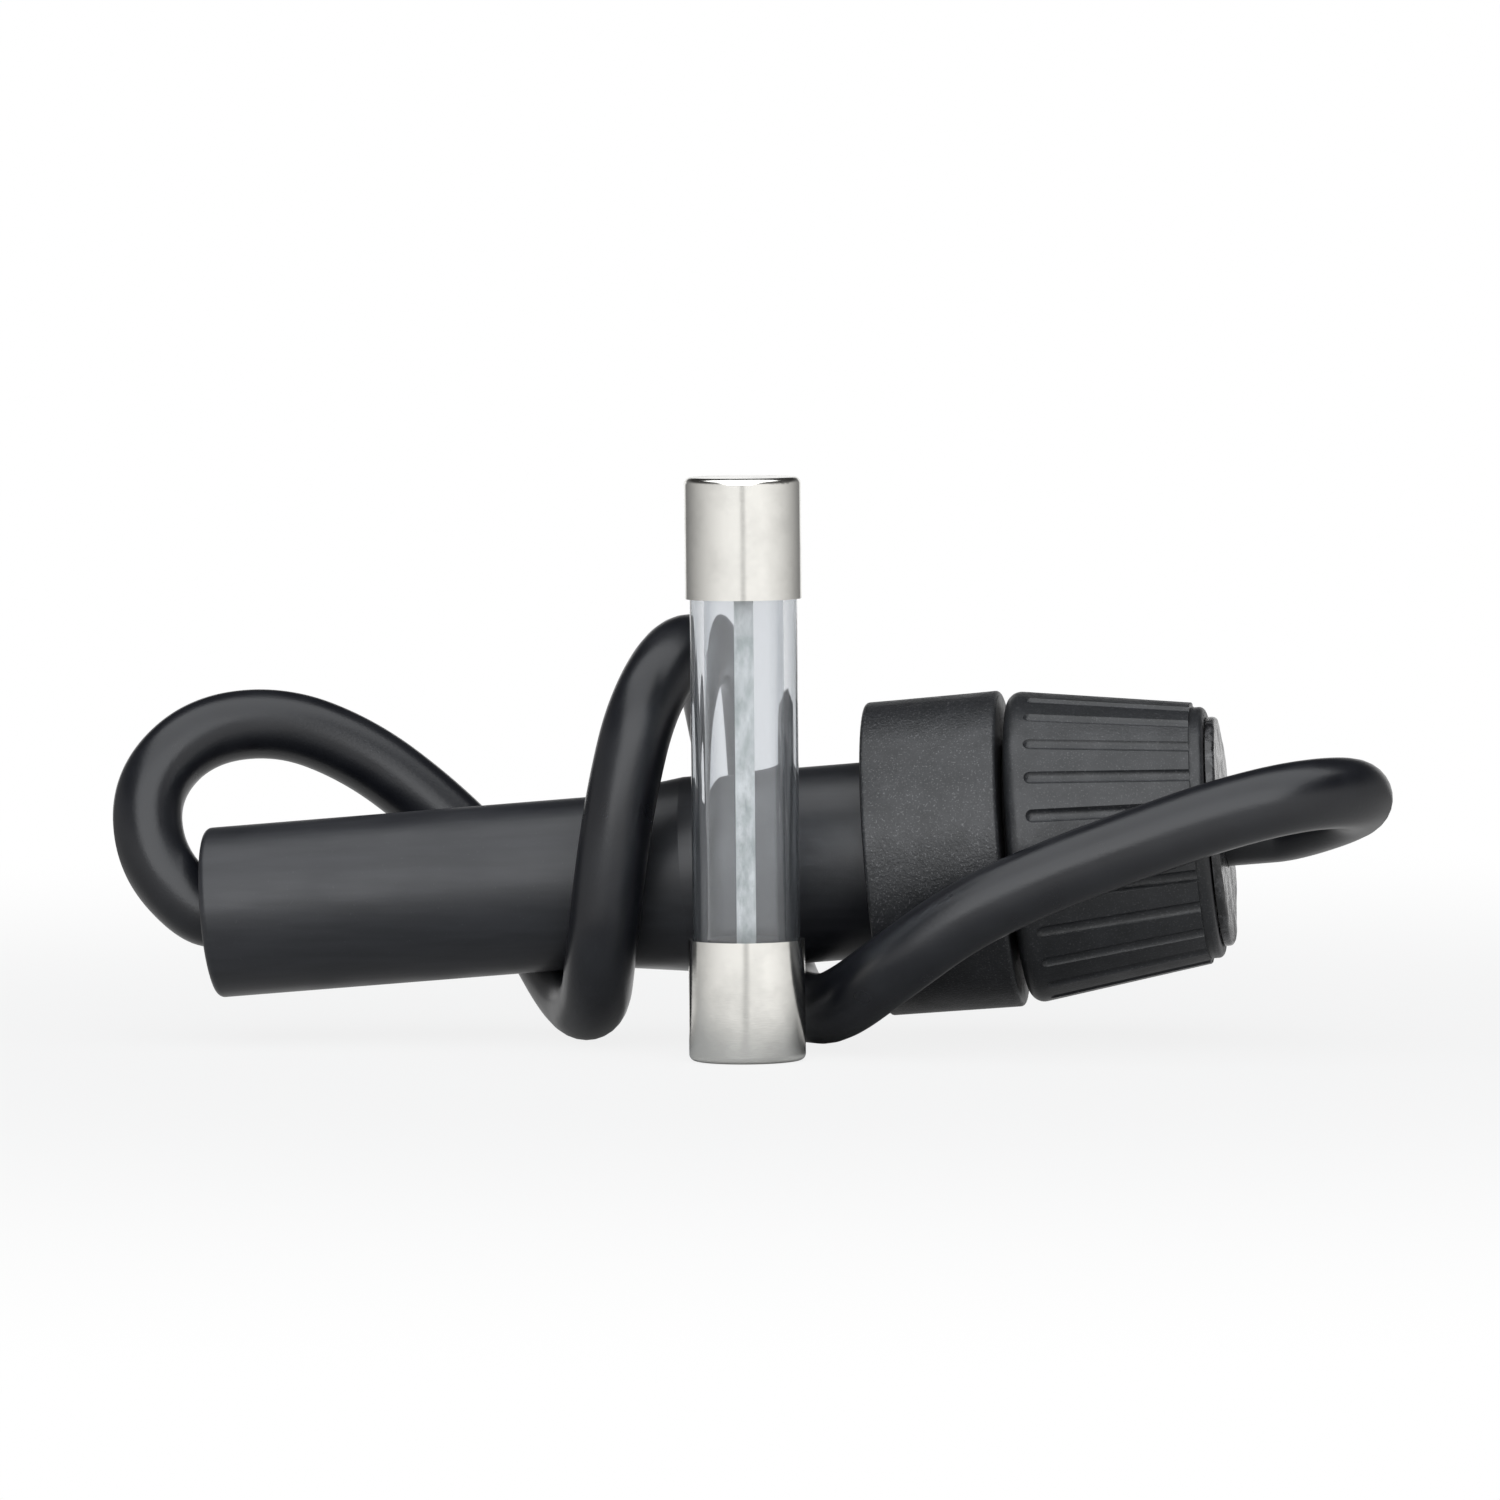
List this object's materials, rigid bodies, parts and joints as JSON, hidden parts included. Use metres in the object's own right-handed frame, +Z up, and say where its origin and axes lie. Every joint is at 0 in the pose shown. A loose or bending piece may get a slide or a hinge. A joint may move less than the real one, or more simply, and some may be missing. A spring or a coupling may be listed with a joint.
{
  "type": "inline fuse holder",
  "caption": "Inline fuse holder: sleeved tube with collar, fluted twist knob and looped lead, with its standing glass fuse.",
  "frame": {"origin": "on the floor under the middle of the box round holder and fuse, without the lead", "axes": "+X along the holder towards its knob (the axis rises 4.5 degrees), +Y away from the viewer, +Z up"},
  "size_m": [0.0719, 0.025, 0.0318],
  "materials": {
    "sleeve_vinyl": "satin black vinyl, smooth",
    "soft_rubber": "soft black rubber",
    "moulded_plastic": "black moulded plastic, spark-eroded grain",
    "seal_rubber": "black seal rubber",
    "contact_brass": "drawn brass",
    "tinned_copper": "tinned stranded copper",
    "solder": "tin solder",
    "lead_insulation": "black vinyl insulation, slight orange peel",
    "spring_steel": "spring steel wire",
    "washer_steel": "plated steel",
    "plug_rubber": "rough glossy black rubber",
    "knob_plastic": "black moulded plastic, spark-eroded grain",
    "cap_nickel": "nickel plated brass, fine scratches",
    "fuse_glass": "clear glass",
    "element_zinc": "flat zinc strip"
  },
  "bodies": {
    "holder": {"insulating_sleeve": "sleeve_vinyl", "rear_grommet": "soft_rubber", "moulded_body": "moulded_plastic", "neck_seal_ring": "seal_rubber", "rear_contact": "contact_brass", "rear_wire_core": "tinned_copper", "rear_solder_joint": "solder", "lead_wire": "lead_insulation", "front_contact": "contact_brass", "front_solder_joint": "solder", "front_wire_core": "tinned_copper", "knob_spring": "spring_steel", "fuse_lower_cap": "cap_nickel", "fuse_upper_cap": "cap_nickel", "fuse_glass_tube": "fuse_glass", "fuse_element": "element_zinc", "fuse_lower_solder": "solder", "fuse_upper_solder": "solder"},
    "knob_carrier": {"knob_end_plug": "plug_rubber", "knob_spring_washer": "washer_steel"},
    "knob_cap": {"knob": "knob_plastic"}
  },
  "joints": [
    {"name": "knob_turn", "type": "hinge", "parent": "knob_carrier", "child": "knob_cap", "pos_m": [0.02247, 0.00335, 0.01112], "axis": [0.9969, 0, 0.0785], "range_deg": [0, 60]},
    {"name": "knob_slide", "type": "slide", "parent": "holder", "child": "knob_carrier", "axis": [0.9969, 0, 0.0785], "range_m": [0, 0.0015], "deforming": ["knob_spring"]}
  ],
  "couplings": [
    {"joint": "knob_slide", "follows": "knob_turn", "m_per_rad": 0.0014323}
  ]
}
